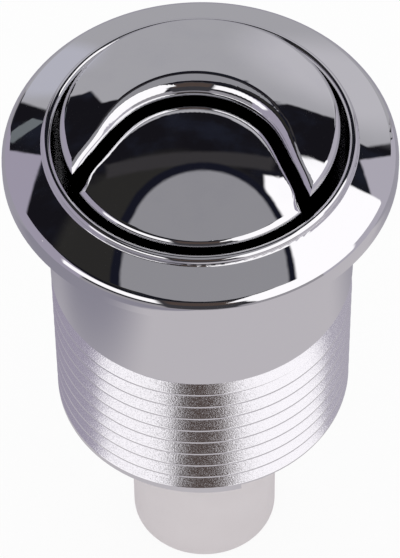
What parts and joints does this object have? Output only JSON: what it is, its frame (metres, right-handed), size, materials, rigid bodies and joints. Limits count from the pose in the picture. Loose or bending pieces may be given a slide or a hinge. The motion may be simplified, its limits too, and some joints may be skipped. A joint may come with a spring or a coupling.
{
  "type": "dual-flush cistern push button actuator",
  "caption": "Round push button for a cistern lid: a domed flange with a split half and full flush button, a threaded barrel and a guide tube for the push rods.",
  "frame": {"origin": "centre of the barrel at the flange's seat, where the flange meets the cistern lid", "axes": "+Z along the barrel's axis, up through the buttons; -Y towards the half flush button; +X to the right"},
  "size_m": [0.06, 0.06, 0.103],
  "materials": {
    "chrome": "mirror plated, satin on the thread",
    "seal_rubber": "matte",
    "white_plastic": "semi-matte moulded",
    "black_plastic": "semi-matte moulded",
    "spring_steel": "bright wire",
    "screw_steel": "zinc plated"
  },
  "bodies": {
    "base": {"housing": "chrome", "flange_seal": "seal_rubber", "carrier": "black_plastic", "carrier_snap_ring": "spring_steel", "guide_tube": "white_plastic", "end_cap": "white_plastic", "tube_screw_left": "screw_steel", "tube_screw_right": "screw_steel", "half_spring": "spring_steel", "full_spring": "spring_steel"},
    "half": {"half_button": "chrome", "half_slide": "black_plastic", "half_screw_left": "screw_steel", "half_screw_right": "screw_steel", "half_rod_foot": "white_plastic"},
    "full": {"full_button": "chrome", "full_slide": "black_plastic", "full_screw_left": "screw_steel", "full_screw_right": "screw_steel", "full_rod_foot": "white_plastic"}
  },
  "joints": [
    {"name": "half_press", "type": "slide", "parent": "base", "child": "half", "axis": [0, 0, -1], "range_m": [0, 0.006], "stiffness_N_per_m": 250, "springref_m": -0.005, "deforming": ["half_spring"]},
    {"name": "full_press", "type": "slide", "parent": "base", "child": "full", "axis": [0, 0, -1], "range_m": [0, 0.006], "stiffness_N_per_m": 250, "springref_m": -0.005, "deforming": ["full_spring"]}
  ]
}
